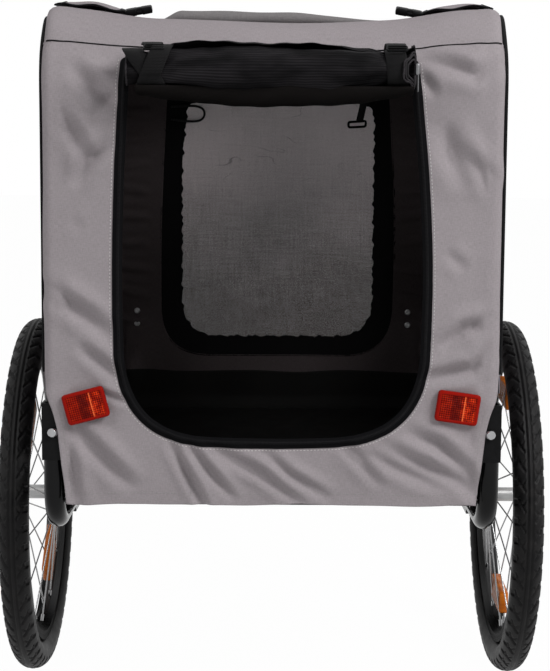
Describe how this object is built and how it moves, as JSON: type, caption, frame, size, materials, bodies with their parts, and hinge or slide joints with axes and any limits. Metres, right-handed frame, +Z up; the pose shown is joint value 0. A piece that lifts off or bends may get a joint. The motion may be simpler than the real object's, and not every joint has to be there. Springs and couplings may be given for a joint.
{
  "type": "dog bike trailer",
  "caption": "Two-wheeled dog trailer for a bicycle: folding tube frame, grey cloth cabin with a rolled-up rear door, quick-release wheels, drawbar and axle hitch.",
  "frame": {"origin": "on the ground, under the middle of the whole trailer", "axes": "+X to the trailer's right seen from behind, +Y forward to the bicycle, +Z up"},
  "size_m": [0.7538, 1.4259, 0.9252],
  "materials": {
    "black_steel": "gloss black powder coat",
    "silver_steel": "zinc-plated steel",
    "chrome": "polished chrome",
    "rim_aluminium": "satin aluminium",
    "tyre_rubber": "black tyre rubber",
    "rubber": "matt black rubber",
    "grey_fabric": "warm grey woven polyester",
    "black_fabric": "black woven polyester and webbing",
    "black_mesh": "black polyester mesh",
    "black_board": "thin board wrapped in black cloth",
    "black_plastic": "moulded black plastic",
    "red_lens": "clear red reflector plastic",
    "amber_lens": "clear amber reflector plastic"
  },
  "bodies": {
    "chassis": {"left_lower_bow": "black_steel", "right_lower_bow": "black_steel", "base_cross_tubes": "black_steel", "axle_cross_tube": "black_steel", "axle_receivers": "silver_steel", "axle_plates": "black_steel", "floor_board": "black_board", "floor_tub": "black_fabric", "hinge_brackets": "black_steel", "hinge_bolts": "silver_steel", "left_side_wall": "grey_fabric", "right_side_wall": "grey_fabric", "left_window_mesh": "black_mesh", "right_window_mesh": "black_mesh", "rear_panel": "grey_fabric", "front_panel": "grey_fabric", "front_mesh_window": "black_mesh", "door_zips": "black_fabric", "roof_cover": "grey_fabric", "roof_mesh": "black_mesh", "roof_roll": "grey_fabric", "roof_buckles": "black_plastic", "roof_flaps": "grey_fabric", "rear_door_roll": "black_fabric", "roll_straps": "black_fabric", "roll_buckles": "black_plastic", "zip_slider": "silver_steel", "rear_reflectors": "red_lens", "press_studs": "silver_steel", "hanging_loop": "black_fabric", "drawbar_bracket": "black_steel", "drawbar_pivot_bolt": "silver_steel"},
    "right_frame": {"right_side_hoop": "black_steel"},
    "left_frame": {"left_side_hoop": "black_steel"},
    "roof_bars": {"top_bars": "black_steel", "top_bar_saddles": "black_plastic", "tether_strap": "black_fabric", "tether_clip": "black_plastic"},
    "drawbar_arm": {"drawbar": "black_steel", "hitch_coupling": "rubber"},
    "clamp_knob": {"drawbar_knob": "black_plastic"},
    "hitch_head": {"hitch_clevis": "silver_steel"},
    "hitch_tab": {"hitch_plate": "silver_steel"},
    "lift_pin": {"hitch_pin": "silver_steel"},
    "left_axle": {"left_stub_axle": "silver_steel"},
    "left_button": {"left_release_button": "black_plastic"},
    "left_wheel": {"left_tyre": "tyre_rubber", "left_rim": "rim_aluminium", "left_spokes": "silver_steel", "left_hub": "chrome", "left_bearings": "silver_steel", "left_spoke_reflectors": "amber_lens"},
    "right_axle": {"right_stub_axle": "silver_steel"},
    "right_button": {"right_release_button": "black_plastic"},
    "right_wheel": {"right_tyre": "tyre_rubber", "right_rim": "rim_aluminium", "right_spokes": "silver_steel", "right_hub": "chrome", "right_bearings": "silver_steel", "right_spoke_reflectors": "amber_lens"}
  },
  "joints": [
    {"name": "right_frame_fold", "type": "hinge", "parent": "chassis", "child": "right_frame", "pos_m": [0.265, -0.30705, 0.401], "axis": [0, -1, 0], "range_deg": [0, 90], "deforming": ["left_side_wall", "right_side_wall", "left_window_mesh", "right_window_mesh", "rear_panel", "front_panel", "front_mesh_window", "door_zips", "roof_cover", "roof_mesh", "roof_roll", "roof_buckles", "roof_flaps", "rear_door_roll", "roll_straps", "roll_buckles", "zip_slider", "rear_reflectors", "press_studs", "hanging_loop", "floor_tub"]},
    {"name": "left_frame_fold", "type": "hinge", "parent": "chassis", "child": "left_frame", "pos_m": [-0.265, -0.30705, 0.401], "axis": [0, 1, 0], "range_deg": [0, 76.5], "deforming": ["left_side_wall", "right_side_wall", "left_window_mesh", "right_window_mesh", "rear_panel", "front_panel", "front_mesh_window", "door_zips", "roof_cover", "roof_mesh", "roof_roll", "roof_buckles", "roof_flaps", "rear_door_roll", "roll_straps", "roll_buckles", "zip_slider", "rear_reflectors", "press_studs", "hanging_loop", "floor_tub"]},
    {"name": "roof_bars_drop", "type": "slide", "parent": "chassis", "child": "roof_bars", "axis": [0, 0, -1], "range_m": [0, 0.54], "deforming": ["left_side_wall", "right_side_wall", "left_window_mesh", "right_window_mesh", "rear_panel", "front_panel", "front_mesh_window", "door_zips", "roof_cover", "roof_mesh", "roof_roll", "roof_buckles", "roof_flaps", "rear_door_roll", "roll_straps", "roll_buckles", "zip_slider", "rear_reflectors", "press_studs", "hanging_loop", "floor_tub", "tether_strap", "tether_clip"]},
    {"name": "left_wheel_release", "type": "slide", "parent": "chassis", "child": "left_axle", "axis": [-1, 0, 0], "range_m": [0, 0.07]},
    {"name": "left_wheel_spin", "type": "hinge", "parent": "left_axle", "child": "left_wheel", "pos_m": [-0.334, -0.30705, 0.25], "axis": [1, 0, 0], "continuous": true},
    {"name": "left_button_press", "type": "slide", "parent": "left_axle", "child": "left_button", "axis": [1, 0, 0], "range_m": [0, 0.0025], "stiffness_N_per_m": 900},
    {"name": "right_wheel_release", "type": "slide", "parent": "chassis", "child": "right_axle", "axis": [1, 0, 0], "range_m": [0, 0.07]},
    {"name": "right_wheel_spin", "type": "hinge", "parent": "right_axle", "child": "right_wheel", "pos_m": [0.334, -0.30705, 0.25], "axis": [1, 0, 0], "continuous": true},
    {"name": "right_button_press", "type": "slide", "parent": "right_axle", "child": "right_button", "axis": [-1, 0, 0], "range_m": [0, 0.0025], "stiffness_N_per_m": 900},
    {"name": "drawbar_swing", "type": "hinge", "parent": "chassis", "child": "drawbar_arm", "pos_m": [-0.175, 0.09295, 0.285], "axis": [0, 0, -1], "range_deg": [0, 80]},
    {"name": "knob_turn", "type": "hinge", "parent": "chassis", "child": "clamp_knob", "pos_m": [-0.175, 0.09295, 0.33], "axis": [0, 0, 1], "continuous": true},
    {"name": "hitch_flex", "type": "hinge", "parent": "drawbar_arm", "child": "hitch_head", "pos_m": [-0.095, 0.58795, 0.325], "axis": [1, 0, 0], "range_deg": [-20, 20], "stiffness_Nm_per_rad": 60, "deforming": ["hitch_coupling"]},
    {"name": "hitch_turn", "type": "hinge", "parent": "hitch_head", "child": "hitch_tab", "pos_m": [-0.095, 0.63795, 0.325], "axis": [0, 0, 1], "range_deg": [-60, 60]},
    {"name": "hitch_pin_lift", "type": "slide", "parent": "hitch_head", "child": "lift_pin", "axis": [0, 0, 1], "range_m": [0, 0.04]}
  ],
  "couplings": [
    {"joint": "left_frame_fold", "follows": "right_frame_fold", "ratio": 0.85},
    {"joint": "roof_bars_drop", "follows": "right_frame_fold", "m_per_rad": 0.34377}
  ]
}
